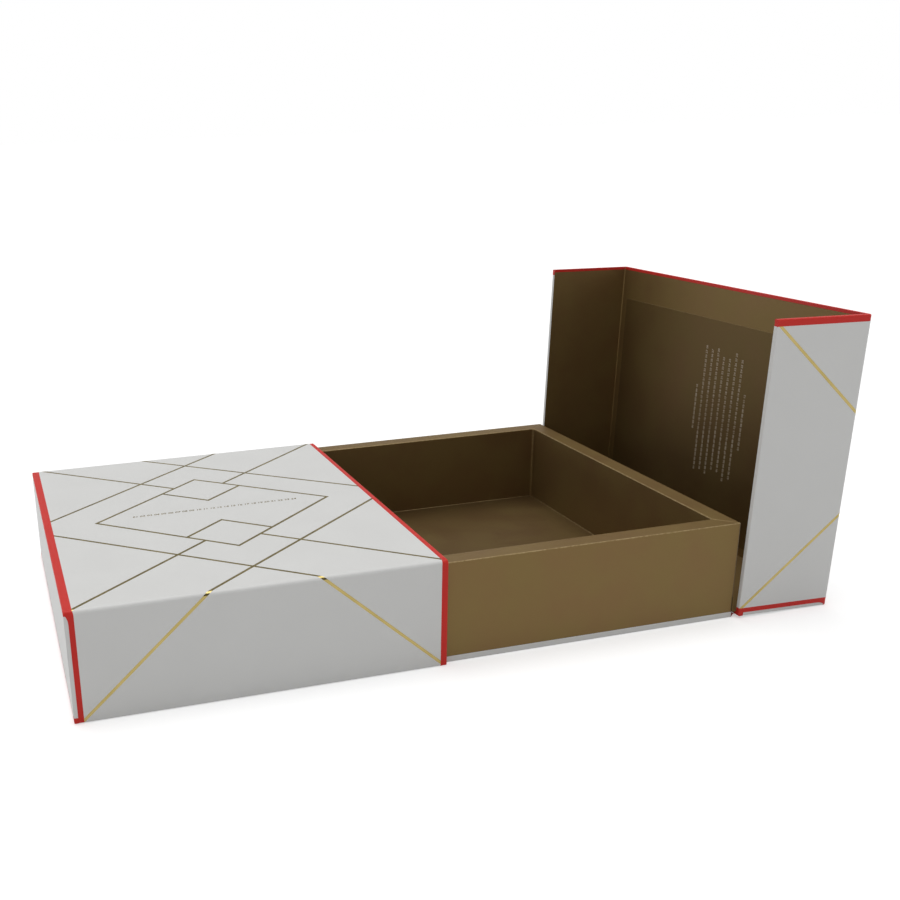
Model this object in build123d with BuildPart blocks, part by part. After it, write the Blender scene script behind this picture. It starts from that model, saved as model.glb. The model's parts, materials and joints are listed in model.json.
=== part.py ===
from build123d import *
import math
import os

# A rigid gate box of greyboard wrapped in paper. A tray with double walls stands on a base board, and two
# half covers are hinged to the ends of the base by strips of paper. The left cover is modelled shut and the
# right one open, standing on its end panel. The origin is the middle of the base's underside, +X runs along
# the box to the open cover, -Y is the front and +Z is up. Lengths are in millimetres.

os.makedirs("parts", exist_ok=True)

# The shut box, measured over its paper
box_length = 326.0
box_width = 210.0
box_height = 52.0
left_cover_length = 170.0
middle_gap = 10.0

# Sheets that the box is made of
paper = 0.2
cover_board = 1.8
end_board = 1.6
base_board = 2.8
tray_board = 2.0
tray_inner_board = 1.5
tray_bottom_board = 1.5
rim_board = 1.5

# Tray
rim_width = 9.6
tray_side_clearance = 0.6
tray_end_clearance = 1.0
tray_top_clearance = 0.2

# Edging papers, and the hinge
edging_width = 2.6
foot_edging_height = 2.8
cover_foot = 0.3
end_board_foot = 0.4
hinge_height = 1.2
hinge_tab = 8.0
table_gap = 0.05

# Sizes that follow from those above
right_cover_length = box_length - left_cover_length - middle_gap
cover_wall = paper + cover_board + paper
fold_radius = paper + cover_board
end_face = paper + end_board
end_stack = end_face + paper
half_box = box_length / 2
half_width = box_width / 2
under_top_board = box_height - paper - cover_board
under_cover = under_top_board - paper
base_top = paper + base_board
tray_top = under_cover - tray_top_clearance
half_tray = half_box - end_stack - tray_end_clearance
half_tray_width = half_width - cover_wall - tray_side_clearance
half_inside = half_tray - rim_width
half_inside_width = half_tray_width - rim_width
tray_floor = base_top + tray_bottom_board + paper
under_rim = tray_top - paper - rim_board

# The open cover turns until the top edge of its end panel is just clear of the table
open_angle = math.degrees(math.acos((table_gap - hinge_height) / (box_height - hinge_height)))
right_hinge = Location((half_box, 0, hinge_height))
shut_frame = Plane.XY
open_frame = Plane(right_hinge * Rotation(0, open_angle, 0) * right_hinge.inverse())


def save(name, piece):
    """Labels a finished piece and writes it as the node of that name."""
    piece.label = name
    export_step(piece, f"parts/{name}.step")
    return piece


def across(frame, x):
    """Plane square to the box's length at x, its x axis along +Y and its y axis up, in a cover's frame."""
    return Plane(origin=frame.from_local_coords((x, 0, 0)), x_dir=frame.y_dir, z_dir=frame.x_dir)


def block(half, low, high, mode=Mode.ADD):
    """Rectangle in a section, centred on the box's middle line, from low to high."""
    with Locations((0, (low + high) / 2)):
        Rectangle(2 * half, high - low, mode=mode)


def rectangle_section(half, low, high):
    """Section that is one rectangle, from low to high."""
    with BuildSketch() as section:
        block(half, low, high)
    return section.sketch


def top_section(inset):
    """Section of a cover above the underside of its top board, taken in by inset, with rounded long edges."""
    half = half_width - inset
    top = box_height - inset
    radius = fold_radius - inset
    with BuildSketch() as section:
        with BuildLine():
            Line((0, top - radius), (half, top - radius))
            CenterArc((half - radius, top - radius), radius, 0, 90)
            Line((half - radius, top), (0, top))
            mirror(about=Plane.YZ)
        make_face()
    return section.sketch


def whole_section(inset, foot):
    """Section of a cover from foot to its top, filled and taken in by inset."""
    with BuildSketch() as section:
        add(top_section(inset))
        block(half_width - inset, foot, under_top_board)
    return section.sketch


def wall_section():
    """Section through a cover's walls: its boards with the papers on both their faces."""
    with BuildSketch() as section:
        add(whole_section(0, cover_foot))
        block(half_width - cover_wall, cover_foot, under_cover, Mode.SUBTRACT)
    return section.sketch


def outer_skin_section():
    """Section of the paper over the top and the flanges, turned in under the flanges' lower edges."""
    with BuildSketch() as section:
        add(wall_section())
        add(whole_section(paper, cover_foot + paper), mode=Mode.SUBTRACT)
    return section.sketch


def lining_section():
    """Section of the lining paper inside the top and the flanges."""
    with BuildSketch() as section:
        block(half_width - paper - cover_board, cover_foot + paper, under_top_board)
        block(half_width - cover_wall, cover_foot + paper, under_cover, Mode.SUBTRACT)
    return section.sketch


def flange_section(edge):
    """Section of one flange board, on the front for edge -1 and on the back for edge 1."""
    with BuildSketch() as section:
        height = under_top_board - cover_foot - paper
        with Locations((edge * (half_width - paper - cover_board / 2), under_top_board - height / 2)):
            Rectangle(cover_board, height)
    return section.sketch


def overhang_section():
    """Section of the paper round the part of the top board that reaches out over the end board."""
    with BuildSketch() as section:
        add(top_section(0))
        add(top_section(paper), mode=Mode.SUBTRACT)
    return section.sketch


def edges_section(foot, low, high):
    """Section of a paper on the end board's front and back edges, and under it where foot is below low."""
    with BuildSketch() as section:
        block(half_width, foot, high)
        block(half_width - paper, low, high, Mode.SUBTRACT)
    return section.sketch


def prism(frame, start, stop, section):
    """Solid of one section, extruded along the box from start to stop, in a cover's frame."""
    with BuildPart() as solid:
        with BuildSketch(across(frame, min(start, stop))):
            add(section)
        extrude(amount=abs(stop - start))
    return solid.part


def make_cover(side, frame, sign, length):
    """All pieces of one cover, which runs from its hinged end at sign * half_box towards the middle."""
    hinged_end = sign * half_box
    middle_end = hinged_end - sign * length
    board_start = hinged_end - sign * paper
    flange_start = hinged_end - sign * end_face
    lining_start = hinged_end - sign * end_stack
    skin_start = flange_start - sign * edging_width
    skin_stop = middle_end + sign * edging_width
    board_stop = middle_end + sign * paper

    # Top board: its long edges are rounded by the fold of the paper, and it reaches out over the end board
    with BuildPart() as top_board:
        add(prism(frame, board_start, board_stop, top_section(paper)))
    save(f"{side}_cover_top_board", top_board.part)

    # Flange boards under the top board's long edges, from the end board to the middle
    for place, edge in (("front", -1), ("back", 1)):
        with BuildPart() as flange_board:
            add(prism(frame, flange_start, board_stop, flange_section(edge)))
        save(f"{side}_cover_{place}_board", flange_board.part)

    # End board, across the whole width under the top board, outside the flanges' ends
    end_section = rectangle_section(half_width - paper, end_board_foot + paper, under_top_board)
    with BuildPart() as end_panel:
        add(prism(frame, board_start, flange_start, end_section))
    save(f"{side}_cover_end_board", end_panel.part)

    # White paper over top, front and back, between the two edgings
    with BuildPart() as outer_paper:
        add(prism(frame, skin_start, skin_stop, outer_skin_section()))
    save(f"{side}_cover_outer_paper", outer_paper.part)

    # White paper on the end board's face, turned in over its front and back edges
    face_section = rectangle_section(half_width, foot_edging_height, under_top_board)
    face_edges = edges_section(foot_edging_height, foot_edging_height, under_top_board)
    with BuildPart() as end_paper:
        add(prism(frame, hinged_end, board_start, face_section))
        add(prism(frame, board_start, flange_start, face_edges))
    save(f"{side}_cover_end_paper", end_paper.part)

    # Bronze lining inside top, front and back, from the end board to the middle
    with BuildPart() as lining_paper:
        add(prism(frame, flange_start, board_stop, lining_section()))
    save(f"{side}_cover_lining_paper", lining_paper.part)

    # Bronze lining on the inside of the end board, between the flanges
    inside_section = rectangle_section(half_width - cover_wall, end_board_foot, under_cover)
    with BuildPart() as end_lining:
        add(prism(frame, flange_start, lining_start, inside_section))
    save(f"{side}_cover_end_lining", end_lining.part)

    # Red edging at the middle end: a band round the outside and a cap over the cut edges of the sheets
    with BuildPart() as middle_edging:
        add(prism(frame, skin_stop, board_stop, outer_skin_section()))
        add(prism(frame, board_stop, middle_end, wall_section()))
    save(f"{side}_cover_middle_edging", middle_edging.part)

    # Red edging at the hinge end: the same band, carried out over the top board's overhang and down its edge
    with BuildPart() as hinge_edging:
        add(prism(frame, flange_start, skin_start, outer_skin_section()))
        add(prism(frame, board_start, flange_start, overhang_section()))
        add(prism(frame, hinged_end, board_start, top_section(0)))
    save(f"{side}_cover_hinge_edging", hinge_edging.part)

    # Red edging round the end board's foot: over its face, its bottom edge and its front and back edges
    foot_section = rectangle_section(half_width, end_board_foot, foot_edging_height)
    foot_edges = edges_section(end_board_foot, end_board_foot + paper, foot_edging_height)
    with BuildPart() as foot_edging:
        add(prism(frame, hinged_end, board_start, foot_section))
        add(prism(frame, board_start, flange_start, foot_edges))
    save(f"{side}_cover_foot_edging", foot_edging.part)


make_cover("left", shut_frame, -1, left_cover_length)
make_cover("right", open_frame, 1, right_cover_length)

# Base board under the tray, and the white paper under it, which ends where the hinge papers are glued on
with BuildPart() as base:
    with BuildSketch(Plane.XY.offset(paper)):
        Rectangle(2 * half_tray, 2 * half_tray_width)
    extrude(amount=base_board)
save("base_board", base.part)

with BuildPart() as base_paper:
    with BuildSketch(Plane.XY):
        Rectangle(2 * (half_tray - hinge_tab), 2 * half_tray_width)
    extrude(amount=paper)
save("base_paper", base_paper.part)

# Tray bottom board, between the outer walls
half_between = half_tray - paper - tray_board
half_between_width = half_tray_width - paper - tray_board
with BuildPart() as tray_bottom:
    with BuildSketch(Plane.XY.offset(base_top)):
        Rectangle(2 * half_between, 2 * half_between_width)
    extrude(amount=tray_bottom_board)
save("tray_bottom_board", tray_bottom.part)

# Outer wall boards stand on the base, the front and back ones running past the ends of the others.
# Inner wall boards stand on the tray's bottom board and carry the inner edge of the rim.
inner_half = half_inside + paper + tray_inner_board
inner_half_width = half_inside_width + paper + tray_inner_board
wall_rings = (
    ("outer", half_tray - paper, half_tray_width - paper, tray_board, base_top),
    ("inner", inner_half, inner_half_width, tray_inner_board, tray_floor - paper),
)
for ring, ring_half, ring_half_width, thickness, foot in wall_rings:
    for place, sign in (("front", -1), ("back", 1)):
        with BuildPart() as long_wall:
            with BuildSketch(Plane.XY.offset(foot)):
                with Locations((0, sign * (ring_half_width - thickness / 2))):
                    Rectangle(2 * ring_half, thickness)
            extrude(amount=under_rim - foot)
        save(f"tray_{ring}_wall_{place}", long_wall.part)
    for place, sign in (("left", -1), ("right", 1)):
        with BuildPart() as short_wall:
            with BuildSketch(Plane.XY.offset(foot)):
                with Locations((sign * (ring_half - thickness / 2), 0)):
                    Rectangle(thickness, 2 * (ring_half_width - thickness))
            extrude(amount=under_rim - foot)
        save(f"tray_{ring}_wall_{place}", short_wall.part)

# Rim boards lie across the tops of both walls, and meet in mitres at the corners
rim_out = (half_tray - paper, half_tray_width - paper)
rim_in = (half_inside + paper, half_inside_width + paper)
for place, sign in (("front", -1), ("back", 1)):
    with BuildPart() as long_rim:
        with BuildSketch(Plane.XY.offset(under_rim)):
            with BuildLine():
                Polyline(
                    (-rim_out[0], sign * rim_out[1]),
                    (rim_out[0], sign * rim_out[1]),
                    (rim_in[0], sign * rim_in[1]),
                    (-rim_in[0], sign * rim_in[1]),
                    close=True,
                )
            make_face()
        extrude(amount=rim_board)
    save(f"tray_rim_{place}", long_rim.part)
for place, sign in (("left", -1), ("right", 1)):
    with BuildPart() as short_rim:
        with BuildSketch(Plane.XY.offset(under_rim)):
            with BuildLine():
                Polyline(
                    (sign * rim_out[0], -rim_out[1]),
                    (sign * rim_out[0], rim_out[1]),
                    (sign * rim_in[0], rim_in[1]),
                    (sign * rim_in[0], -rim_in[1]),
                    close=True,
                )
            make_face()
        extrude(amount=rim_board)
    save(f"tray_rim_{place}", short_rim.part)

# Papers of the tray: one round the outside, one over the rim, one down the inner walls and one on the floor
with BuildPart() as tray_outer_paper:
    with BuildSketch(Plane.XY.offset(base_top)):
        Rectangle(2 * half_tray, 2 * half_tray_width)
        Rectangle(2 * rim_out[0], 2 * rim_out[1], mode=Mode.SUBTRACT)
    extrude(amount=tray_top - paper - base_top)
save("tray_outer_paper", tray_outer_paper.part)

with BuildPart() as tray_rim_paper:
    with BuildSketch(Plane.XY.offset(tray_top - paper)):
        Rectangle(2 * half_tray, 2 * half_tray_width)
        Rectangle(2 * half_inside, 2 * half_inside_width, mode=Mode.SUBTRACT)
    extrude(amount=paper)
save("tray_rim_paper", tray_rim_paper.part)

with BuildPart() as tray_wall_paper:
    with BuildSketch(Plane.XY.offset(tray_floor)):
        Rectangle(2 * rim_in[0], 2 * rim_in[1])
        Rectangle(2 * half_inside, 2 * half_inside_width, mode=Mode.SUBTRACT)
    extrude(amount=tray_top - paper - tray_floor)
save("tray_wall_paper", tray_wall_paper.part)

with BuildPart() as tray_floor_paper:
    with BuildSketch(Plane.XY.offset(tray_floor - paper)):
        Rectangle(2 * rim_in[0], 2 * rim_in[1])
    extrude(amount=paper)
save("tray_floor_paper", tray_floor_paper.part)


def hinge_strip(name, outline, half_span):
    """Strip of paper with the given outline in the XZ plane, half_span wide each side of the middle."""
    with BuildPart() as strip:
        with BuildSketch(Plane.XZ.offset(-half_span)):
            with BuildLine():
                Polyline(*outline, close=True)
            make_face()
        extrude(amount=2 * half_span)
    save(name, strip.part)


def opened(x, z):
    """Where a point of the shut right cover goes when the cover stands open."""
    moved = open_frame.from_local_coords((x, 0, z))
    return (moved.X, moved.Z)


# Hinge papers cross the gutter between base and end board. The red outer one comes from under the base to the
# foot of the end board. The bronze inner one runs from the tray's wall to the end board's lining.
tab_end = half_tray - hinge_tab
lining_x = half_box - end_stack
fold_low = end_board_foot + paper
shut_outer = (
    (-tab_end, 0),
    (-half_box, 0),
    (-half_box, end_board_foot),
    (-half_box + paper, end_board_foot),
    (-half_box + paper, paper),
    (-tab_end, paper),
)
hinge_strip("left_hinge_outer_paper", shut_outer, half_tray_width)

foot_out = opened(half_box, end_board_foot)
foot_in = opened(half_box - paper, end_board_foot)
open_outer = (
    (tab_end, 0),
    (half_tray, 0),
    foot_out,
    foot_in,
    (half_tray, paper),
    (tab_end, paper),
)
hinge_strip("right_hinge_outer_paper", open_outer, half_tray_width)

shut_inner = (
    (-half_tray, base_top + hinge_tab),
    (-half_tray, fold_low),
    (-lining_x, fold_low),
    (-lining_x, base_top + hinge_tab),
    (-lining_x + paper, base_top + hinge_tab),
    (-lining_x + paper, fold_low + paper),
    (-half_tray - paper, fold_low + paper),
    (-half_tray - paper, base_top + hinge_tab),
)
hinge_strip("left_hinge_inner_paper", shut_inner, half_width - cover_wall)

open_inner = (
    (half_tray, base_top + hinge_tab),
    (half_tray, base_top),
    opened(lining_x, end_board_foot),
    opened(lining_x, base_top + hinge_tab),
    opened(lining_x - paper, base_top + hinge_tab),
    opened(lining_x - paper, end_board_foot),
    (half_tray + paper, base_top + paper),
    (half_tray + paper, base_top + hinge_tab),
)
hinge_strip("right_hinge_inner_paper", open_inner, half_width - cover_wall)
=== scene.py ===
import json
import math

import bmesh
import bpy
from mathutils import Euler, Matrix, Vector
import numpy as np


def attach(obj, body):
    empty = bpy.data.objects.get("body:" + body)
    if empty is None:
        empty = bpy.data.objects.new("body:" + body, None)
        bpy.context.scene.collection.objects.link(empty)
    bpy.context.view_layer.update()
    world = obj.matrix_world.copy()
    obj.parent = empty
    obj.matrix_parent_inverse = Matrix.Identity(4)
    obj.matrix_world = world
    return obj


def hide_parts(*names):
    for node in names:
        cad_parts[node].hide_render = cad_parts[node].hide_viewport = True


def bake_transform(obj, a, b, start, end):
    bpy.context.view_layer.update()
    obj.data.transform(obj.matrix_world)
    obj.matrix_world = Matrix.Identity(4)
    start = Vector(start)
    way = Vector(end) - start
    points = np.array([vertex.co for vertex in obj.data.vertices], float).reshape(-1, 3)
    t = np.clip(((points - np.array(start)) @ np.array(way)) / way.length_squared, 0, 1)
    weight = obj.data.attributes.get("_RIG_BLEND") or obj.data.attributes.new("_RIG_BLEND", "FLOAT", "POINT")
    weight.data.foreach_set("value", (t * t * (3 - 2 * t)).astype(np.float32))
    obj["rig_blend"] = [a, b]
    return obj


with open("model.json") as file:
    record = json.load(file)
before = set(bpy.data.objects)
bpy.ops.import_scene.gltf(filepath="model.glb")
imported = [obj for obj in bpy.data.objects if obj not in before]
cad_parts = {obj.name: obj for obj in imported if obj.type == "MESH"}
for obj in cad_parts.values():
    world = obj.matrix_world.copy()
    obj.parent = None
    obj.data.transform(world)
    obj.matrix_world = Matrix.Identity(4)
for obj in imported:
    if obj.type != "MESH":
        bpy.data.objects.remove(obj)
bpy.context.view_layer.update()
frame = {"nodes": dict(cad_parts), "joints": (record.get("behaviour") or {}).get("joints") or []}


# Greyboard. Every panel is a sheet of stiff grey millboard, cut to size and glued edge to edge. It only
# shows as a grey line in the narrow joints between the papers, so the boards of the frame stay as they are.

mm = 0.001
board_fibre = 1.2 * mm
board_speck = 6 * mm
board_speckled = 0.3
board_relief = 0.05 * mm
board_pale = (0.33, 0.31, 0.28)
board_deep = (0.23, 0.21, 0.19)
board_spot = (0.20, 0.17, 0.14)


def start_material(name, roughness, specular=0.5, metallic=0.0):
    """New material whose shader has its even values set."""
    material = bpy.data.materials.new(name)
    material.use_nodes = True
    shader = material.node_tree.nodes["Principled BSDF"]
    shader.inputs["Roughness"].default_value = roughness
    shader.inputs["Specular IOR Level"].default_value = specular
    shader.inputs["Metallic"].default_value = metallic
    return material


def feed_shader(material, name, source):
    """Joins a socket to the named input of a material's shader."""
    shader = material.node_tree.nodes["Principled BSDF"]
    material.node_tree.links.new(source, shader.inputs[name])


def add_node(material, kind, **wires):
    """Adds a node. Each wire names an input, and holds the socket or the value that feeds it."""
    tree = material.node_tree
    made = tree.nodes.new(kind)
    for socket, source in wires.items():
        target = made.inputs[socket.replace("_", " ")]
        if isinstance(source, bpy.types.NodeSocket):
            tree.links.new(source, target)
        else:
            target.default_value = source
    return made


def add_noise(material, grain, detail=2.0):
    """Noise on the piece's own coordinates, with grains of the given size in metres."""
    place = add_node(material, "ShaderNodeTexCoord").outputs["Object"]
    noise = add_node(material, "ShaderNodeTexNoise", Vector=place, Scale=1 / grain, Detail=detail)
    return noise.outputs[0]


def add_range(material, source, low, high, start=0.35, stop=0.65):
    """Stretches the part of a noise between start and stop to run from low to high."""
    ranged = add_node(
        material, "ShaderNodeMapRange",
        Value=source, From_Min=start, From_Max=stop, To_Min=low, To_Max=high,
    )
    return ranged.outputs[0]


def add_mix(material, factor, first, second):
    """Colour that goes from first to second with the factor. Each is a socket or a colour."""
    links = material.node_tree.links
    mix = material.node_tree.nodes.new("ShaderNodeMix")
    mix.data_type = "RGBA"
    factor_input, first_input, second_input = (mix.inputs[place] for place in (0, 6, 7))
    links.new(factor, factor_input)
    for target, source in ((first_input, first), (second_input, second)):
        if isinstance(source, bpy.types.NodeSocket):
            links.new(source, target)
        else:
            target.default_value = (*source, 1.0)
    return mix.outputs[2]


def add_bump(material, height, depth):
    """Raises the surface by depth, in metres, where height is 1."""
    bump = add_node(material, "ShaderNodeBump", Height=height, Distance=depth)
    feed_shader(material, "Normal", bump.outputs[0])


greyboard = start_material("greyboard", roughness=0.9, specular=0.2)
fibres = add_noise(greyboard, board_fibre, detail=4.0)
specks = add_noise(greyboard, board_speck, detail=3.0)
tone = add_mix(greyboard, add_range(greyboard, fibres, 0, 1), board_deep, board_pale)
tone = add_mix(greyboard, add_range(greyboard, specks, 0, board_speckled), tone, board_spot)
feed_shader(greyboard, "Base Color", tone)
add_bump(greyboard, fibres, board_relief)

for board in frame["nodes"].values():
    for place in board.material_slots:
        place.material = greyboard


# Base wrap. The base board is wrapped in the same white paper as the covers, folded up round its four edges,
# and the tray is glued on top of it. Its edge shows as a pale line under the tray.

half_tray = 160.0 * mm
half_tray_width = 102.2 * mm
base_top = 3.0 * mm
base_fold = 0.4 * mm
base_overlap = 0.12 * mm
cloud_size = 26 * mm
fibre_share = 0.35
sheen_spread = 0.03
paper_relief = 0.01 * mm
# Patches of the paler fold tone, which is partly wear and partly painted highlight
wear_and_highlight_patch = 1.6 * mm
least_wear_and_highlight = 0.2
# Upright folds take less of the paler fold tone, which is partly painted highlight
upright_wear_and_highlight = 0.3
# A face lies along the box where its normal comes this near to an axis
square_on = 0.995
# A vertex is on an upright fold where its normal rises or falls no more than this
upright_slope = 0.1


def add_wear_and_highlight(material, tone, attribute, colour, amount, patch):
    """Mixes in a paler fold colour, partly wear and partly painted highlight, in patches of the given size,
    where the attribute is 1.
    """
    links = material.node_tree.links
    marked = material.node_tree.nodes.new("ShaderNodeAttribute")
    marked.attribute_name = attribute
    patches = add_range(material, add_noise(material, patch, detail=4.0), least_wear_and_highlight, 1.0)
    both = material.node_tree.nodes.new("ShaderNodeMath")
    both.operation = "MULTIPLY"
    links.new(marked.outputs["Fac"], both.inputs[0])
    links.new(patches, both.inputs[1])
    return add_mix(material, add_range(material, both.outputs[0], 0, amount, 0, 1), tone, colour)


def paper_finish(name, pale, deep, roughness, specular, metallic, fibre, wear_and_highlight, wear_and_highlight_share):
    """Coated paper: two close tones in soft clouds, fine fibres, and a paler tone along its folds that is
    partly wear and partly painted highlight.
    """
    material = start_material(name, roughness, specular, metallic)
    clouds = add_noise(material, cloud_size, detail=3.0)
    fibres = add_noise(material, fibre, detail=4.0)
    tone = add_mix(material, add_range(material, clouds, 0, 1), deep, pale)
    tone = add_mix(material, add_range(material, fibres, 0, fibre_share), tone, deep)
    tone = add_wear_and_highlight(material, tone, "fold", wear_and_highlight, wear_and_highlight_share, wear_and_highlight_patch)
    feed_shader(material, "Base Color", tone)
    sheen = add_range(material, clouds, roughness - sheen_spread, roughness + sheen_spread)
    feed_shader(material, "Roughness", sheen)
    add_bump(material, fibres, paper_relief)
    return material


def mark_folds(bm):
    """Writes how much of the paler fold tone, partly wear and partly painted highlight, each vertex takes: 1
    on a rounded fold, less on an upright one, 0 elsewhere.
    """
    layer = bm.verts.layers.float.new("fold")
    bm.normal_update()
    for vertex in bm.verts:
        turned = [max(abs(part) for part in face.normal) < square_on for face in vertex.link_faces]
        wear_and_highlight = 1.0 if abs(vertex.normal.z) > upright_slope else upright_wear_and_highlight
        vertex[layer] = wear_and_highlight if turned and all(turned) else 0.0


def add_object(name, bm, material):
    """Turns a finished bmesh into an object of the scene."""
    mesh = bpy.data.meshes.new(name)
    bm.to_mesh(mesh)
    bm.free()
    mesh.materials.append(material)
    thing = bpy.data.objects.new(name, mesh)
    bpy.context.scene.collection.objects.link(thing)
    return thing


def shade_soft(piece, sharp_angle):
    """Shades a piece smooth, with hard edges where it turns by more than the angle in degrees."""
    piece.data.shade_smooth()
    piece.data.set_sharp_from_angle(angle=math.radians(sharp_angle))


def make_piece(name, bm, body, material, replaced=()):
    """Turns a finished bmesh into a piece of the box, in place of the nodes that it replaces."""
    piece = add_object(name, bm, material)
    shade_soft(piece, sharp_angle=35)
    evened = piece.modifiers.new("even shading", "WEIGHTED_NORMAL")
    evened.keep_sharp = True
    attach(piece, body)
    if replaced:
        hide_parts(*replaced)


def add_block(bm, low, high):
    """Adds a block between two corners."""
    low = Vector(low)
    high = Vector(high)
    bmesh.ops.create_cube(bm, size=1, matrix=Matrix.LocRotScale((low + high) / 2, None, high - low))


def round_edges(bm, chosen, radius, segments):
    """Rounds the edges that the test accepts by the places of their two ends."""
    edges = [edge for edge in bm.edges if chosen(edge.verts[0].co, edge.verts[1].co)]
    bmesh.ops.bevel(
        bm, geom=edges, offset=radius, segments=segments, profile=0.5, affect="EDGES", material=-1
    )


# The paler colour along the folds is partly wear and partly painted highlight.
white_paper = paper_finish(
    "white_paper", pale=(0.785, 0.785, 0.77), deep=(0.77, 0.77, 0.755), roughness=0.45, specular=0.3,
    metallic=0.0, fibre=0.35 * mm, wear_and_highlight=(0.84, 0.84, 0.83), wear_and_highlight_share=0.3,
)

half_base_width = half_tray_width + base_overlap
bm = bmesh.new()
add_block(bm, (-half_tray, -half_base_width, 0), (half_tray, half_base_width, base_top))
round_edges(bm, lambda a, b: True, base_fold, segments=3)
mark_folds(bm)
make_piece("base_wrap", bm, "base", white_paper, ("base_paper",))


# Tray wrap. A sheet of bronze pearl paper is glued round the tray's outer walls, folded over the rim and down
# the inner walls. It is mitred at the rim's corners, and bridges the inner corners in a small curve.

tray_top = 49.6 * mm
tray_floor = 4.7 * mm
rim_width = 9.6 * mm
rim_fall = 0.02 * mm
tray_fold = 0.5 * mm
corner_bridge = 1.4 * mm
outer_corner = 0.8 * mm
corner_facets = 6
fold_facets = 4
seam_half = 0.16 * mm
seam_light = 0.5 * mm
seam_depth = 0.15 * mm
paper = 0.2 * mm
glued_paper = 0.18 * mm
nearly = 0.01 * mm
hair = 0.0005 * mm

# The paler colour along the folds is partly wear and partly painted highlight.
bronze_paper = paper_finish(
    "bronze_paper", pale=(0.214, 0.148, 0.055), deep=(0.203, 0.128, 0.052), roughness=0.5, specular=0.15,
    metallic=0.58, fibre=0.22 * mm, wear_and_highlight=(0.42, 0.32, 0.17), wear_and_highlight_share=0.8,
)


def cut(bm, point, direction, faces=None, drop=False):
    """Cuts all of a bmesh, or the given faces, along a plane, and drops what lies beyond it where asked."""
    if faces is None:
        parts = bm.verts[:] + bm.edges[:] + bm.faces[:]
    else:
        edges = dict.fromkeys(edge for face in faces for edge in face.edges)
        verts = dict.fromkeys(vertex for face in faces for vertex in face.verts)
        parts = faces + list(edges) + list(verts)
    bmesh.ops.bisect_plane(
        bm, geom=parts, dist=hair, plane_co=point, plane_no=direction, clear_outer=drop
    )


def add_loop(bm, offset, radius, height):
    """Adds the outline of the tray at a height, drawn in by offset and with its corners rounded."""
    spread = Matrix.LocRotScale((0, 0, height), None, (half_tray - offset, half_tray_width - offset, 1))
    corners = bmesh.ops.create_grid(bm, x_segments=1, y_segments=1, size=1, matrix=spread)["verts"]
    bmesh.ops.bevel(
        bm, geom=corners, offset=radius, segments=corner_facets, profile=0.5, affect="VERTICES", material=-1
    )
    flat = bm.faces[:]
    loop = flat[0].edges[:]
    bmesh.ops.delete(bm, geom=flat, context="FACES_ONLY")
    return loop


def score_mitres(bm):
    """Cuts a shallow groove from corner to corner across the rim, where two edges of the paper meet."""
    folds = bm.verts.layers.float["fold"]
    reach = 2 * rim_width
    for along in (-1, 1):
        for across in (-1, 1):
            corner = Vector((along * half_tray, across * half_tray_width, tray_top))
            aside = Vector((along, -across, 0)).normalized()
            for offset in (-seam_light, -seam_half, 0, seam_half, seam_light):
                near = [
                    face for face in bm.faces
                    if (face.calc_center_median() - corner).length < reach
                    and min(vertex.co.z for vertex in face.verts) > tray_top - tray_fold - nearly
                ]
                cut(bm, corner + offset * aside, aside, near)
            for vertex in bm.verts:
                off = abs((vertex.co - corner).dot(aside))
                # The seam takes the paler fold tone: the pale chips of its worn edges, and in part a painted
                # highlight.
                if (vertex.co - corner).length < reach and off < seam_half + nearly:
                    vertex[folds] = 1.0
                    if off < nearly and vertex.co.z > tray_top - paper / 2:
                        vertex.co.z -= seam_depth


# Outline after outline from the foot of the outer wall, over the two folds of the rim, to the foot of the
# inner. The rim falls a hair inwards, because two outlines in one plane aren't joined the right way round.
turns = [math.pi / 2 * step / fold_facets for step in range(fold_facets + 1)]
outlines = [(0, outer_corner, base_top)]
for turn in turns:
    offset = tray_fold * (1 - math.cos(turn))
    outlines.append((offset, outer_corner - offset, tray_top - tray_fold * (1 - math.sin(turn))))
for turn in turns:
    offset = rim_width - tray_fold * (1 - math.sin(turn))
    height = tray_top - rim_fall - tray_fold * (1 - math.cos(turn))
    outlines.append((offset, corner_bridge + rim_width - offset, height))
outlines.append((rim_width, corner_bridge, tray_floor))

bm = bmesh.new()
loops = [add_loop(bm, *outline) for outline in outlines]
for lower, upper in zip(loops, loops[1:]):
    bmesh.ops.bridge_loops(bm, edges=lower + upper)
bmesh.ops.recalc_face_normals(bm, faces=bm.faces[:])
bmesh.ops.solidify(bm, geom=bm.faces[:], thickness=glued_paper)
mark_folds(bm)
score_mitres(bm)
make_piece(
    "tray_wrap", bm, "base", bronze_paper,
    ("tray_outer_paper", "tray_rim_paper", "tray_wall_paper"),
)


# Tray floor. A separate sheet of bronze paper lies on the tray's bottom board, in a darker copy of its tones
# that is partly painted shade. It is cut a hair smaller than the well so that it drops in, and its edges curl
# up a little against the walls.

floor_gap = 0.04 * mm
curl_width = 0.4 * mm
curl_height = 0.3 * mm
half_floor = half_tray - rim_width - floor_gap
half_floor_width = half_tray_width - rim_width - floor_gap

# A darker copy of the bronze paper's tones, partly painted shade for the hollows that it lines.
shaded_bronze_paper = paper_finish(
    "shaded_bronze_paper", pale=(0.149, 0.102, 0.038), deep=(0.141, 0.087, 0.035), roughness=0.5, specular=0.15,
    metallic=0.58, fibre=0.22 * mm, wear_and_highlight=(0.42, 0.32, 0.17), wear_and_highlight_share=0.8,
)

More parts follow.
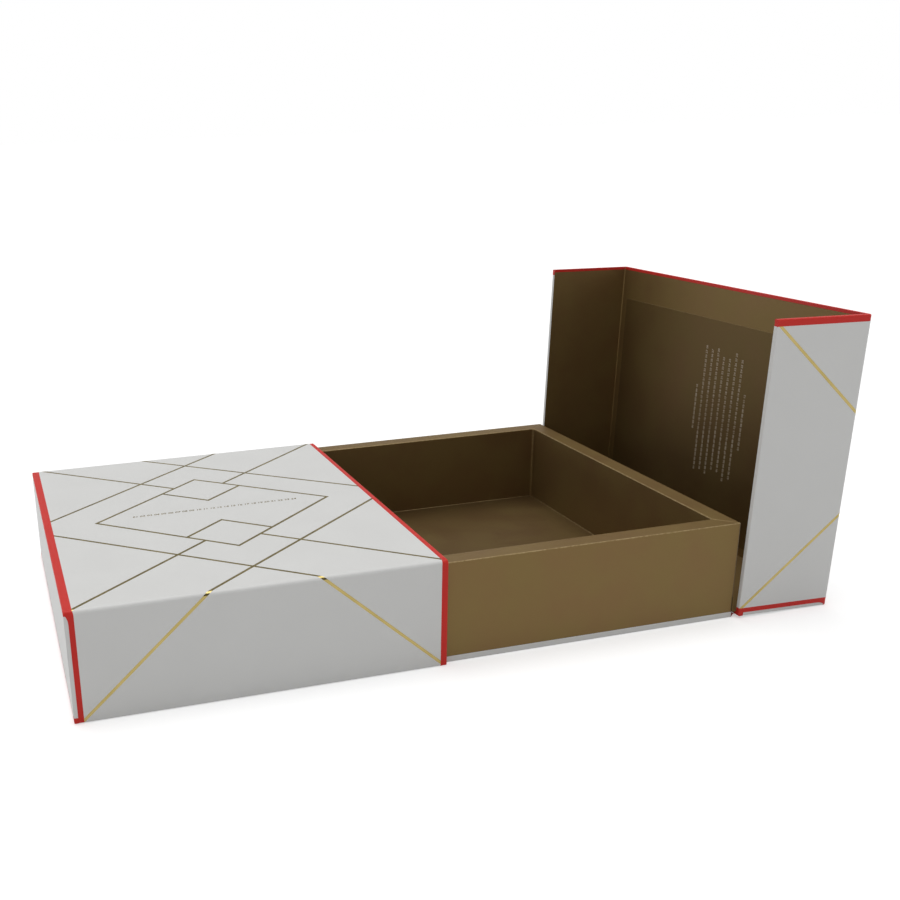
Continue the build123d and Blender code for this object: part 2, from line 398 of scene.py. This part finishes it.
bm = bmesh.new()
add_block(
    bm,
    (-half_floor, -half_floor_width, tray_floor - paper),
    (half_floor, half_floor_width, tray_floor),
)
bm.normal_update()
flat = [face for face in bm.faces if face.normal.z > 0.9]
bmesh.ops.inset_region(bm, faces=flat, thickness=curl_width)
rim = [
    vertex for vertex in bm.verts
    if vertex.co.z > tray_floor - paper / 2 and abs(vertex.co.x) > half_floor - curl_width / 2
]
bmesh.ops.translate(bm, verts=rim, vec=(0, 0, curl_height))
mark_folds(bm)
# The curled edges take the full paler fold tone, which paints a highlight along the lifted edge, with some
# wear.
folds = bm.verts.layers.float["fold"]
for vertex in bm.verts:
    if vertex.co.z > tray_floor + curl_height / 2:
        vertex[folds] = 1.0
make_piece("tray_floor_sheet", bm, "base", shaded_bronze_paper, ("tray_floor_paper",))


# Cover wraps. Each cover is a top board with two flanges, wrapped in one sheet of white paper that is folded
# round the long edges, down the flanges and in under their feet.

half_length = 163.0 * mm
half_width = 105.0 * mm
box_height = 52.0 * mm
left_length = 170.0 * mm
right_length = 146.0 * mm
cover_board = 1.8 * mm
cover_wall = paper + cover_board + paper
end_board = 1.6 * mm
end_stack = paper + end_board
fold_radius = 2.0 * mm
foot_fold = 0.4 * mm
cover_foot = 0.3 * mm
hinge_band = 2.4 * mm
hinge_band_top = 1.95 * mm
middle_band_top = 2.8 * mm
middle_band_flange = 3.2 * mm
paper_lap = 0.04 * mm

hinges = {joint["name"]: joint for joint in frame["joints"]}
open_hinge = hinges["right_hinge"]
open_angle = math.radians(max(abs(limit) for limit in open_hinge["range_deg"]))
hinge_point = Vector(open_hinge["pos_m"])
swing = (
    Matrix.Translation(hinge_point)
    @ Matrix.Rotation(open_angle, 4, "Y")
    @ Matrix.Translation(-hinge_point)
)

# Name, x of the hinged end, length, and direction from the hinged end to the middle
covers = (
    ("left", -half_length, left_length, 1),
    ("right", half_length, right_length, -1),
)
# The left cover is made where it stays, and the right one shut and then swung open
cover_places = {"left": Matrix.Identity(4), "right": swing}

flat_half = half_width - fold_radius
top_bend = fold_radius * math.pi / 2
foot_bend = foot_fold * math.pi / 2
flange_start = flat_half + top_bend
foot_start = flange_start + box_height - fold_radius - cover_foot - foot_fold
sheet_half = foot_start + foot_bend + cover_wall - foot_fold


def add_strip(bm, from_x, to_x, half_span, low, high):
    """Adds a flat strip across the box, between two places along it."""
    add_block(bm, (min(from_x, to_x), -half_span, low), (max(from_x, to_x), half_span, high))


def cut_across(bm, place):
    """Cuts at the same place on both sides of the box's middle line."""
    for across in (-1, 1):
        cut(bm, (0, across * place, 0), (0, across, 0))


def fold_down(bm, line, radius, facets, height):
    """Folds both sides of a flat sheet, whose face is at height, down round a radius at y = line."""
    for side in (-1, 1):
        for step in range(facets + 1):
            cut(bm, (0, side * (line + radius * math.pi / 2 * step / facets), 0), (0, side, 0))
    for vertex in bm.verts:
        side = math.copysign(1, vertex.co.y)
        past = abs(vertex.co.y) - line
        if past <= 0:
            continue
        turn = min(past / radius, math.pi / 2)
        reach = past - radius * turn
        depth = vertex.co.z - height + radius
        vertex.co.y = side * (line + reach * math.cos(turn) + depth * math.sin(turn))
        vertex.co.z = height - radius + depth * math.cos(turn) - reach * math.sin(turn)


def fold_over_edges(bm):
    """Folds a flat sheet round the cover's long edges."""
    fold_down(bm, flat_half, fold_radius, facets=8, height=box_height)


def lay_over_cover(bm):
    """Folds a flat sheet under the flanges' feet and then round the cover's long edges."""
    fold_down(bm, foot_start, foot_fold, facets=3, height=box_height)
    fold_over_edges(bm)


def finish_cover_piece(bm, side, name, material, replaced=()):
    """Puts a piece that was made on the shut cover where the cover is, and makes it ride on it."""
    mark_folds(bm)
    bmesh.ops.transform(bm, matrix=cover_places[side], verts=bm.verts[:])
    nodes = [f"{side}_cover_{node}" for node in replaced]
    make_piece(f"{side}_{name}", bm, f"{side}_cover", material, nodes)


for side, hinged_end, length, sign in covers:
    bm = bmesh.new()
    start = hinged_end + sign * (end_stack + hinge_band)
    stop = hinged_end + sign * (length - middle_band_flange)
    add_strip(bm, start, stop, sheet_half, box_height + paper_lap - paper, box_height + paper_lap)
    cut_across(bm, flat_half)
    cut_across(bm, flange_start)
    # The red bands at both ends are narrower on top than on the flanges, so the sheet reaches further there
    for vertex in bm.verts:
        if abs(vertex.co.y) < flat_half + nearly:
            at_middle = abs(vertex.co.x - stop) < nearly
            grown = middle_band_flange - middle_band_top if at_middle else hinge_band_top - hinge_band
            vertex.co.x += sign * grown
    lay_over_cover(bm)
    finish_cover_piece(bm, side, "cover_wrap", white_paper, ["outer_paper"])


# End wraps. The end board of each cover has its own sheet of white paper on its face, folded in over its
# front and back edges, and it stands a hair behind the flanges.

foot_strip_top = 0.95 * mm
foot_strip_lap = 0.2 * mm
end_setback = 0.12 * mm
end_fold = 0.4 * mm
under_top = box_height - paper - cover_board

for side, hinged_end, length, sign in covers:
    bm = bmesh.new()
    line = half_width - end_setback - end_fold
    reach = line + end_fold * math.pi / 2 + end_stack - end_fold
    add_strip(bm, foot_strip_top - foot_strip_lap, under_top, reach, -paper, 0)
    fold_down(bm, line, end_fold, facets=4, height=0)
    # Stands the sheet up against the end board: along it becomes height, and its face looks outward
    stand = Matrix(((0, 0, -sign, hinged_end), (0, 1, 0, 0), (1, 0, 0, 0), (0, 0, 0, 1)))
    bmesh.ops.transform(bm, matrix=stand, verts=bm.verts[:])
    bmesh.ops.recalc_face_normals(bm, faces=bm.faces[:])
    finish_cover_piece(bm, side, "end_wrap", white_paper, ["end_paper"])


# Middle edgings. A strip of red paper binds the end of each cover at the middle of the box: a band outside,
# and a cap with rounded edges over the cut ends of board and lining.

cap_round = 0.6 * mm
band_tuck = 0.15 * mm
inner_band = 1.5 * mm
inner_band_end = 0.1 * mm
inner_band_rise = 0.06 * mm
inner_band_tuck = 0.05 * mm
weld = 0.005 * mm
skin = 1.0 * mm

# The paler colour along the folds is partly wear and partly painted highlight.
red_paper = paper_finish(
    "red_paper", pale=(0.70, 0.033, 0.025), deep=(0.65, 0.029, 0.022), roughness=0.42, specular=0.2,
    metallic=0.0, fibre=0.3 * mm, wear_and_highlight=(0.80, 0.07, 0.05), wear_and_highlight_share=0.5,
)


def add_sheet(bm, from_x, to_x, half_span, middle_y=0, height=0):
    """Adds a flat face across the box, between two places along it."""
    spread = Matrix.LocRotScale(
        ((from_x + to_x) / 2, middle_y, height), None, (abs(to_x - from_x) / 2, half_span, 1)
    )
    bmesh.ops.create_grid(bm, x_segments=1, y_segments=1, size=1, matrix=spread)


def thicken(bm):
    """Adds a second layer to a sheet, with sides between. Gives its vertices, not yet moved away."""
    grown = bmesh.ops.extrude_face_region(bm, geom=bm.faces[:])
    return [part for part in grown["geom"] if isinstance(part, bmesh.types.BMVert)]


def close_up(bm):
    """Welds what has met, and turns all faces outward."""
    bmesh.ops.remove_doubles(bm, verts=bm.verts[:], dist=weld)
    bmesh.ops.recalc_face_normals(bm, faces=bm.faces[:])


def both_at(a, b, x):
    """Whether both ends of an edge are at a place along the box."""
    return max(abs(a.x - x), abs(b.x - x)) < nearly


for side, hinged_end, length, sign in covers:
    stop = hinged_end + sign * length
    start = stop - sign * (middle_band_flange + band_tuck)
    bm = bmesh.new()
    add_sheet(bm, start, stop, foot_start + foot_fold, height=box_height)
    for reach in (inner_band, inner_band + inner_band_end):
        cut(bm, (stop - sign * reach, 0, 0), (1, 0, 0))
    fold_over_edges(bm)
    for vertex in thicken(bm):
        shown = abs(vertex.co.x - stop) < inner_band + nearly
        wall = cover_wall + (inner_band_rise if shown else -inner_band_tuck)
        vertex.co.y = max(wall - half_width, min(half_width - wall, vertex.co.y))
        vertex.co.z = min(box_height - wall, vertex.co.z)
    close_up(bm)

    def cap_edge(a, b):
        """Whether an edge lies on the outer rim of the cap."""
        outside = all(abs(tip.y) > half_width - skin or tip.z > box_height - skin for tip in (a, b))
        return both_at(a, b, stop) and outside and max(a.z, b.z) > cover_foot + nearly

    round_edges(bm, cap_edge, cap_round, segments=4)
    finish_cover_piece(bm, side, "middle_edging", red_paper, ["middle_edging"])


# Hinge edgings. At the hinged end the red band also covers the overhang of the top board and turns down over
# its edge. Where it passes from the overhang to the flange, the paper runs in a small hollow curve.

web_height = 4.0 * mm
web_width = 1.0 * mm
web_steps = 5
overhang_round = 0.35 * mm


def add_bmesh(bm, part):
    """Adds a second bmesh to the first, and frees it."""
    spare = bpy.data.meshes.new("spare")
    part.to_mesh(spare)
    part.free()
    bm.from_mesh(spare)
    bpy.data.meshes.remove(spare)


for side, hinged_end, length, sign in covers:
    start = hinged_end + sign * end_stack
    stop = start + sign * (hinge_band + band_tuck)
    band = bmesh.new()
    add_strip(band, start, stop, sheet_half, box_height - paper, box_height)
    cut_across(band, flat_half)
    cut_across(band, flange_start - 2 * nearly)
    for step in range(web_steps + 1):
        cut_across(band, flange_start + web_height * step / web_steps)
    for vertex in band.verts:
        past = abs(vertex.co.y) - flange_start
        if -nearly < past < web_height and abs(vertex.co.x - start) < nearly:
            vertex.co.x -= sign * web_width * (1 - past / web_height) ** 2
        if abs(vertex.co.y) < flat_half + nearly and abs(vertex.co.x - stop) < nearly:
            vertex.co.x -= sign * (hinge_band - hinge_band_top)
    lay_over_cover(band)

    bm = bmesh.new()
    add_sheet(bm, start, hinged_end, flange_start, height=box_height)
    fold_over_edges(bm)
    for vertex in thicken(bm):
        vertex.co.z = under_top
    close_up(bm)

    def end_brow(a, b):
        """Whether an edge lies on the upper rim of the overhang's end."""
        above = max(a.z, b.z) > under_top + nearly
        return both_at(a, b, hinged_end) and above and abs(a.y - b.y) > nearly

    round_edges(bm, end_brow, overhang_round, segments=3)
    add_bmesh(bm, band)
    finish_cover_piece(bm, side, "hinge_edging", red_paper, ["hinge_edging"])


# Foot edgings. A narrow red strip binds the lower edge of each end board, round its bottom and both its ends,
# and rises a little at the two corners, where it laps over the paper of the end.

foot_round = 0.55 * mm
foot_corner = 0.35 * mm
foot_swell = 0.05 * mm
foot_ear_top = 2.8 * mm
foot_ear = 3.0 * mm
foot_overlap = 0.02 * mm
end_board_foot = 0.4 * mm
near_edge = 0.1 * mm

for side, hinged_end, length, sign in covers:
    bm = bmesh.new()
    outer = hinged_end - sign * foot_swell
    inner = hinged_end + sign * end_stack
    add_strip(bm, outer, inner, half_width + foot_overlap, end_board_foot - foot_swell, foot_ear_top)
    cut_across(bm, half_width - foot_ear)
    cut_across(bm, half_width - foot_ear - foot_ear_top + foot_strip_top)
    for vertex in bm.verts:
        if vertex.co.z > foot_strip_top and abs(vertex.co.y) < half_width - foot_ear - near_edge:
            vertex.co.z = foot_strip_top

    def bottom_edge(a, b):
        """Whether an edge is the lower one of the strip's face."""
        return both_at(a, b, outer) and max(a.z, b.z) < foot_strip_top - near_edge

    def side_edge(a, b):
        """Whether an edge is an upright one at a side of the strip's face."""
        at_side = min(abs(a.y), abs(b.y)) > half_width - near_edge
        return both_at(a, b, outer) and at_side and abs(a.z - b.z) > skin

    round_edges(bm, bottom_edge, foot_round, segments=5)
    round_edges(bm, side_edge, foot_corner, segments=3)
    finish_cover_piece(bm, side, "foot_edging", red_paper, ["foot_edging"])


# Linings. The covers are lined with the bronze paper, folded into the corners under the long edges, and a
# separate panel in the darker copy of it, which is partly painted shade, is glued on under the top board,
# clear of the edges.

under_cover = box_height - cover_wall
lining_fold = 0.8 * mm
panel_from_edge = 19.0 * mm
panel_from_flange = 5.0 * mm
panel_from_end = 5.0 * mm
panel_round = 0.12 * mm
panel_face = under_cover - glued_paper

for side, hinged_end, length, sign in covers:
    start = hinged_end + sign * end_stack
    stop = hinged_end + sign * (length - paper)
    bm = bmesh.new()
    line = half_width - cover_wall + paper - lining_fold
    reach = line + lining_fold * math.pi / 2 + under_top - lining_fold - cover_foot - paper
    add_strip(bm, start, stop, reach, under_cover, under_top)
    fold_down(bm, line, lining_fold, facets=4, height=under_top)
    finish_cover_piece(bm, side, "lining", bronze_paper, ["lining_paper"])

    bm = bmesh.new()
    start = hinged_end + sign * (end_stack + panel_from_end)
    stop = hinged_end + sign * (length - panel_from_edge)
    add_strip(bm, start, stop, half_width - cover_wall - panel_from_flange, panel_face, under_cover)
    round_edges(bm, lambda a, b: max(a.z, b.z) < panel_face + nearly, panel_round, segments=2)
    finish_cover_piece(bm, side, "lining_panel", shaded_bronze_paper)


# End linings. A strip of the bronze paper covers the inside of each end board, between the flanges. Its edges
# are pressed down a little where it shows.

end_lining_round = 0.08 * mm

for side, hinged_end, length, sign in covers:
    outer = hinged_end + sign * end_stack
    inner = outer + sign * paper
    bm = bmesh.new()
    add_strip(bm, outer, inner, half_width - cover_wall, end_board_foot, under_cover)
    round_edges(bm, lambda a, b: both_at(a, b, inner), end_lining_round, segments=2)
    finish_cover_piece(bm, side, "end_lining", bronze_paper, ["end_lining"])


# Foil ornament. Thin gold foil is stamped into the white paper before it is folded: two rhombuses in a large
# one, long lines that cross on the middle line and run down the flanges, and a line from each corner.

stripe = 1.4 * mm
stripe_end = 0.6 * stripe
foil_rise = paper_lap + 0.03 * mm
foil_thickness = 0.06 * mm
foil_pale = (0.43, 0.34, 0.135)
foil_deep = (0.38, 0.30, 0.11)
foil_dent = 9 * mm
foil_gloss = (0.17, 0.25)
foil_grain = 2.5 * mm
foil_relief = 0.01 * mm

middle_from_back = 104.5 * mm
big_across = 55.0 * mm
# How much of a side of the large rhombus a small one takes, and where a corner's line meets that side
small_share = 0.3515
corner_hit = 13.4 / 60.3
# How far from the middle line a long line starts at the end of the sheet
side_hit = 11.2 * mm
corner_inset = 1.0 * mm
centre_y = half_width - middle_from_back

# For each cover: half length of the large rhombus, and how far from the middle a long line meets the fold
ornaments = {"left": (60.3 * mm, 22.6 * mm), "right": (54.6 * mm, 22.85 * mm)}

foil = start_material("gold_foil", roughness=0.2, metallic=1.0)
dents = add_noise(foil, foil_dent)
feed_shader(foil, "Base Color", add_mix(foil, add_range(foil, dents, 0, 1), foil_deep, foil_pale))
feed_shader(foil, "Roughness", add_range(foil, dents, *foil_gloss))
add_bump(foil, add_noise(foil, foil_grain), foil_relief)


def ornament_lines(half_white, big_along, at_fold):
    """Middle lines of the stripes on the flat sheet, along and across from the middle of the pattern."""
    lines = []
    foot = foot_start + foot_fold
    for along in (-1, 1):
        for across in (-1, 1):
            tip = (along * big_along, 0)
            crown = (0, across * big_across)
            small_side = (along * big_along * small_share, across * big_across * (1 - small_share))
            small_foot = (0, across * big_across * (1 - 2 * small_share))
            met = (along * big_along * corner_hit, across * big_across * (1 - corner_hit))
            corner = (along * half_white, across * (half_width - corner_inset) + centre_y)
            turn = (along * at_fold, across * flat_half + centre_y)
            end = (along * half_white, across * foot + centre_y)
            lines += [(tip, crown), (small_side, small_foot), (corner, met)]
            lines += [((-along * half_white, across * side_hit), turn), (turn, end)]
    return [(Vector(first), Vector(second)) for first, second in lines]


def in_stripe(spot, first, second):
    """Whether a spot lies in the stripe from first to second, or a little past its ends."""
    run = (second - first).normalized()
    along = (spot - first).dot(run)
    aside = abs((spot - first).cross(run))
    return aside < stripe / 2 and -stripe_end < along < (second - first).length + stripe_end


def stamp_foil(bm, lines):
    """Cuts a flat sheet along both sides of every stripe, and keeps only what lies in a stripe."""
    for first, second in lines:
        run = (second - first).normalized()
        aside = Vector((-run.y, run.x, 0))
        for side in (-1, 1):
            cut(bm, first.to_3d() + side * stripe / 2 * aside, aside)
    for fold in (flat_half, -flat_half):
        cut(bm, (0, fold - centre_y, 0), (0, 1, 0))
    spare = []
    for face in bm.faces:
        spot = face.calc_center_median().to_2d()
        if not any(in_stripe(spot, first, second) for first, second in lines):
            spare.append(face)
    bmesh.ops.delete(bm, geom=spare, context="FACES")


for side, hinged_end, length, sign in covers:
    big_along, at_fold = ornaments[side]
    half_white = (length - end_stack) / 2 - hinge_band
    middle_x = hinged_end + sign * (length + end_stack) / 2
    start = hinged_end + sign * (end_stack + hinge_band_top) - middle_x
    stop = hinged_end + sign * (length - middle_band_top) - middle_x
    bm = bmesh.new()
    add_sheet(bm, start, stop, foot_start + foot_bend, -centre_y)
    stamp_foil(bm, ornament_lines(half_white, big_along, at_fold))
    bmesh.ops.translate(bm, verts=bm.verts[:], vec=(middle_x, centre_y, box_height + foil_rise))
    for reach, direction in ((length - middle_band_flange, sign), (end_stack + hinge_band, -sign)):
        flanges = [face for face in bm.faces if abs(face.calc_center_median().y) > flange_start - skin]
        cut(bm, (hinged_end + sign * reach, 0, 0), (direction, 0, 0), flanges, drop=True)
    bmesh.ops.translate(bm, verts=thicken(bm), vec=(0, 0, -foil_thickness))
    bmesh.ops.recalc_face_normals(bm, faces=bm.faces[:])
    lay_over_cover(bm)
    finish_cover_piece(bm, side, "foil_ornament", foil)


# Numbers. The left cover has one row of small foil numerals in the large rhombus, and the lining panel of the
# right cover has nine printed lines of plain numbers, turned a quarter, the first and the last line shorter.

type_size = 2.6 * mm
type_thickness = 0.06 * mm
type_weight = 0.04 * mm
row_place = (-76.0 * mm, 2.6 * mm, box_height + paper_lap)
row_width = 86.0 * mm
row_count = 24
row_slant = 0.2
list_middle = 87.5 * mm
list_first = 15.8 * mm
list_pitch = 5.3 * mm
# How many numbers each line has
list_lines = (10, 28, 27, 28, 25, 25, 28, 26, 12)
number_pitch = 2.6 * mm
ink_grain = 0.4 * mm
ink_pale = (0.61, 0.52, 0.42)
ink_deep = (0.54, 0.46, 0.37)

print_ink = start_material("print_ink", roughness=0.6, specular=0.2)
grain = add_range(print_ink, add_noise(print_ink, ink_grain, detail=3.0), 0, 1)
feed_shader(print_ink, "Base Color", add_mix(print_ink, grain, ink_deep, ink_pale))


def set_type(count, width, slant=0.0):
    """Thin raised row of the numbers from 01 up, in plain type, its middle at the origin."""
    words = bpy.data.curves.new("type", "FONT")
    words.body = " ".join(f"{number:02d}" for number in range(1, count + 1))
    words.size = type_size
    words.shear = slant
    words.align_x = "CENTER"
    words.resolution_u = 2
    words.offset = type_weight
    words.extrude = type_thickness / 2
    drawn = bpy.data.objects.new("type", words)
    bpy.context.scene.collection.objects.link(drawn)
    bpy.context.view_layer.update()
    letters = bpy.data.meshes.new_from_object(drawn)
    bm = bmesh.new()
    bm.from_mesh(letters)
    bpy.data.objects.remove(drawn)
    bpy.data.curves.remove(words)
    bpy.data.meshes.remove(letters)
    bmesh.ops.remove_doubles(bm, verts=bm.verts[:], dist=hair)
    bmesh.ops.recalc_face_normals(bm, faces=bm.faces[:])
    ends = [vertex.co.x for vertex in bm.verts]
    fit = width / (max(ends) - min(ends))
    bmesh.ops.scale(bm, verts=bm.verts[:], vec=(fit, fit, 1))
    return bm


bm = set_type(row_count, row_width, row_slant)
bmesh.ops.translate(bm, verts=bm.verts[:], vec=row_place)
finish_cover_piece(bm, "left", "number_row", foil)

bm = bmesh.new()
for line, count in enumerate(list_lines):
    row = set_type(count, number_pitch * count)
    bmesh.ops.translate(row, verts=row.verts[:], vec=(0, list_first - line * list_pitch, 0))
    add_bmesh(bm, row)
turned = Matrix.Rotation(math.pi, 4, "Y")
under_panel = Matrix.Translation((list_middle, 0, panel_face)) @ turned
bmesh.ops.transform(bm, matrix=under_panel, verts=bm.verts[:])
finish_cover_piece(bm, "right", "number_list", print_ink)


# Hinge papers. Strips of paper join each end board to the base: a red one outside, from under the base to the
# foot of the end board, and a bronze one inside, from the tray's wall to the end board's lining. They bend as
# it turns.

span_gap = 0.2 * mm
# The red strip of the open cover, in millimetres: glued under the base as far as outer_glued, it runs
# on by outer_reach, climbs to the end board and bulges up on the way
outer_glued = 160.0
outer_reach = 2.2
outer_low = 0.1
outer_climb = 1.1
outer_bulge = 0.9
bulge_facets = 8

# Paths from the glued end on the base to the glued end on the cover, along and up in millimetres
left_outer = [
    (-152.5, 0.1), (-158, 0.1), (-160, 0.1), (-160.8, 0.1), (-161.6, 0.12), (-162.3, 0.18), (-162.9, 0.3),
]
left_inner = [
    (-160.1, 11), (-160.1, 3), (-160.2, 1.2), (-160.5, 0.6), (-160.8, 1.2), (-160.9, 3), (-160.9, 11),
]
right_outer = [(152.5, outer_low), (156, outer_low), (outer_glued, outer_low)]
for step in range(1, bulge_facets + 1):
    share = step / bulge_facets
    height = outer_low + outer_climb * share + outer_bulge * math.sin(math.pi * share)
    right_outer.append((outer_glued + outer_reach * share, height))
right_inner = [
    (160.1, 11), (160.1, 5), (160.2, 3.3), (160.8, 3.05), (161.5, 3.1), (162.245, 3.218), (166, 3.13),
    (172.84, 2.98),
]

# Side, place, path, and between which places along the box the strip gives way
hinge_strips = (
    ("left", "outer", left_outer, (-160.0 * mm, -163.0 * mm)),
    ("left", "inner", left_inner, (-160.1 * mm, -160.9 * mm)),
    ("right", "outer", right_outer, (160.0 * mm, 162.2 * mm)),
    ("right", "inner", right_inner, (160.1 * mm, 162.3 * mm)),
)
strip_kinds = {
    "outer": (half_tray_width - span_gap, "red_paper", red_paper),
    "inner": (half_width - cover_wall - span_gap, "bronze_paper", bronze_paper),
}


def strip_from_path(points, half_span):
    """Strip of glued paper along a path in the XZ plane, given in millimetres."""
    bm = bmesh.new()
    tip = None
    for along, up in points:
        if tip is None:
            tip = bmesh.ops.create_vert(bm)["vert"][0]
        else:
            tip = bmesh.ops.extrude_vert_indiv(bm, verts=[tip])["verts"][0]
        tip.co = (along * mm, -half_span, up * mm)
    swept = bmesh.ops.extrude_edge_only(bm, edges=bm.edges[:])
    moved = [part for part in swept["geom"] if isinstance(part, bmesh.types.BMVert)]
    bmesh.ops.translate(bm, verts=moved, vec=(0, 2 * half_span, 0))
    bmesh.ops.recalc_face_normals(bm, faces=bm.faces[:])
    bmesh.ops.solidify(bm, geom=bm.faces[:], thickness=glued_paper)
    bmesh.ops.recalc_face_normals(bm, faces=bm.faces[:])
    return bm


for side, place, points, (bend_start, bend_end) in hinge_strips:
    half_span, slot, material = strip_kinds[place]
    strip = add_object(f"{side}_hinge_{place}", strip_from_path(points, half_span), material)
    shade_soft(strip, sharp_angle=50)
    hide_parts(f"{side}_hinge_{place}_paper")
    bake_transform(strip, "base", f"{side}_cover", start=(bend_start, 0, 0), end=(bend_end, 0, 0))


# Floor. A plain pale table top, painted matt, which shows white to the eye and keeps the soft shadow of the
# box. It is much larger than the box, so that its edge is never seen.

floor_half = 30.0
floor_lift = 0.46
floor_paint = (0.8, 0.8, 0.8, 1)


def seen_directly(tree):
    """1 for rays from the eye, from a gloss or through glass, and 0 for the light that falls on things."""
    rays = tree.nodes.new("ShaderNodeLightPath")
    total = rays.outputs["Is Camera Ray"]
    for kind in ("Is Glossy Ray", "Is Transmission Ray"):
        most = tree.nodes.new("ShaderNodeMath")
        most.operation = "MAXIMUM"
        tree.links.new(total, most.inputs[0])
        tree.links.new(rays.outputs[kind], most.inputs[1])
        total = most.outputs[0]
    return total


table = bpy.data.materials.new("pale_table")
table.use_nodes = True
tree = table.node_tree
tree.nodes.remove(tree.nodes["Principled BSDF"])
matt = tree.nodes.new("ShaderNodeBsdfDiffuse")
matt.inputs["Color"].default_value = floor_paint
glow = tree.nodes.new("ShaderNodeEmission")
lift = tree.nodes.new("ShaderNodeMath")
lift.operation = "MULTIPLY"
lift.inputs[1].default_value = floor_lift
both = tree.nodes.new("ShaderNodeAddShader")
tree.links.new(seen_directly(tree), lift.inputs[0])
tree.links.new(lift.outputs[0], glow.inputs["Strength"])
tree.links.new(matt.outputs[0], both.inputs[0])
tree.links.new(glow.outputs[0], both.inputs[1])
tree.links.new(both.outputs[0], tree.nodes["Material Output"].inputs["Surface"])

bm = bmesh.new()
bmesh.ops.create_grid(bm, x_segments=1, y_segments=1, size=floor_half)
add_object("floor", bm, table)


# Light. An even pale sky and one large soft lamp over the box. A grey board behind it and a black one above
# the eye are seen only in the foil and in the gloss of the paper.

sky_light = 0.395
lamp_power = 1.42
lamp_spread = 50
lamp_direction = (0.1, -0.25, -1.5)

world = bpy.data.worlds.new("studio")
bpy.context.scene.world = world
world.use_nodes = True
tree = world.node_tree
backdrop = tree.nodes["Background"]
backdrop.inputs["Color"].default_value = (1, 1, 1, 1)
strength = tree.nodes.new("ShaderNodeMapRange")
strength.inputs["To Min"].default_value = sky_light
strength.inputs["To Max"].default_value = 1.0
tree.links.new(seen_directly(tree), strength.inputs["Value"])
tree.links.new(strength.outputs[0], backdrop.inputs["Strength"])

lamp_data = bpy.data.lights.new("soft_lamp", "SUN")
lamp_data.energy = lamp_power
lamp_data.angle = math.radians(lamp_spread)
lamp = bpy.data.objects.new("soft_lamp", lamp_data)
lamp.rotation_euler = Vector(lamp_direction).to_track_quat("-Z", "Y").to_euler()
bpy.context.scene.collection.objects.link(lamp)


def stand_board(name, middle, half_size, colour):
    """Upright board that only glossy surfaces reflect."""
    upright = Matrix.LocRotScale(middle, Euler((math.pi / 2, 0, 0)), (*half_size, 1))
    bm = bmesh.new()
    bmesh.ops.create_grid(bm, x_segments=1, y_segments=1, size=1, matrix=upright)
    paint = start_material(f"{name}_paint", roughness=0.9, specular=0.0)
    paint.node_tree.nodes["Principled BSDF"].inputs["Base Color"].default_value = (*colour, 1)
    board = add_object(name, bm, paint)
    board.visible_camera = False
    board.visible_diffuse = False
    board.visible_shadow = False


stand_board("grey_board", (0.5, 2, 1.0), (3.5, 0.6), (0.62, 0.62, 0.6))
stand_board("black_board", (0.35, -2, 1.95), (0.85, 1.25), (0.02, 0.02, 0.02))


# Camera. It stands a little left of the box and looks down on it, as in the photograph. The picture is a part
# of what the lens takes in, shifted to one side and up.

camera_place = (-0.18079, -0.53287, 0.23597)
camera_turn = (70.4395, 1.7367, -15.5986)

camera_data = bpy.data.cameras.new("camera")
camera_data.sensor_width = 36
camera_data.lens = 44.639
camera_data.shift_x = 0.1792
camera_data.shift_y = 0.0812
camera_data.clip_start = 0.01
camera_data.clip_end = 100
camera = bpy.data.objects.new("camera", camera_data)
camera.location = camera_place
camera.rotation_euler = [math.radians(angle) for angle in camera_turn]
bpy.context.scene.collection.objects.link(camera)
bpy.context.scene.camera = camera
bpy.context.scene.view_settings.view_transform = "Standard"
